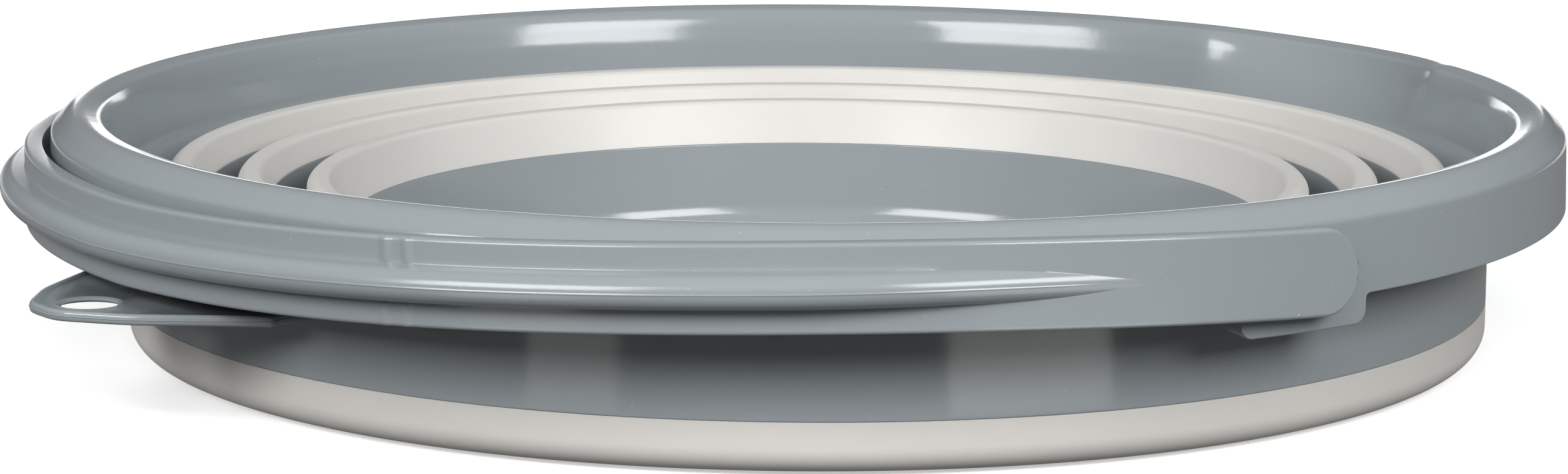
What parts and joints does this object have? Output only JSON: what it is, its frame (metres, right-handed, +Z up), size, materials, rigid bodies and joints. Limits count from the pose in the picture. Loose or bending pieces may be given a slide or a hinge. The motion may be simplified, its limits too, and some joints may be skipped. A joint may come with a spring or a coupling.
{
  "type": "collapsible foot spa basin",
  "caption": "Round collapsible basin that folds flat: rigid rim, rings and base cup joined by soft folds, with a pouring spout, a hang tab and a swinging bail handle.",
  "frame": {"origin": "on the vertical axis, at the centre of the flat pad under the base cup", "axes": "+Z up along the basin's axis; +X towards the pouring spout, -X towards the hang tab; the handle turns about an axis along Y"},
  "size_m": [0.3265, 0.31, 0.0468],
  "materials": {
    "rim_plastic": "gloss injection-moulded polypropylene, blue grey",
    "cup_plastic": "gloss injection-moulded polypropylene, blue grey",
    "ring_plastic": "gloss injection-moulded polypropylene, blue grey",
    "handle_plastic": "satin-gloss injection-moulded polypropylene, blue grey",
    "soft_fold": "satin thermoplastic rubber, warm light grey"
  },
  "bodies": {
    "base": {"base_cup": "cup_plastic"},
    "inner_tier": {"ring_inner": "ring_plastic", "fold_inner": "soft_fold"},
    "outer_tier": {"ring_outer": "ring_plastic", "fold_middle": "soft_fold"},
    "rim_tier": {"rim": "rim_plastic", "fold_outer": "soft_fold"},
    "bail": {"handle": "handle_plastic"}
  },
  "joints": [
    {"name": "inner_lift", "type": "slide", "parent": "base", "child": "inner_tier", "axis": [0, 0, 1], "range_m": [0, 0.061], "deforming": ["fold_inner"]},
    {"name": "outer_lift", "type": "slide", "parent": "inner_tier", "child": "outer_tier", "axis": [0, 0, 1], "range_m": [0, 0.064], "deforming": ["fold_middle"]},
    {"name": "rim_lift", "type": "slide", "parent": "outer_tier", "child": "rim_tier", "axis": [0, 0, 1], "range_m": [0, 0.068], "deforming": ["fold_outer"]},
    {"name": "handle_swing", "type": "hinge", "parent": "rim_tier", "child": "bail", "pos_m": [0, 0, 0.036], "axis": [0, 1, 0], "range_deg": [0, 170]}
  ]
}
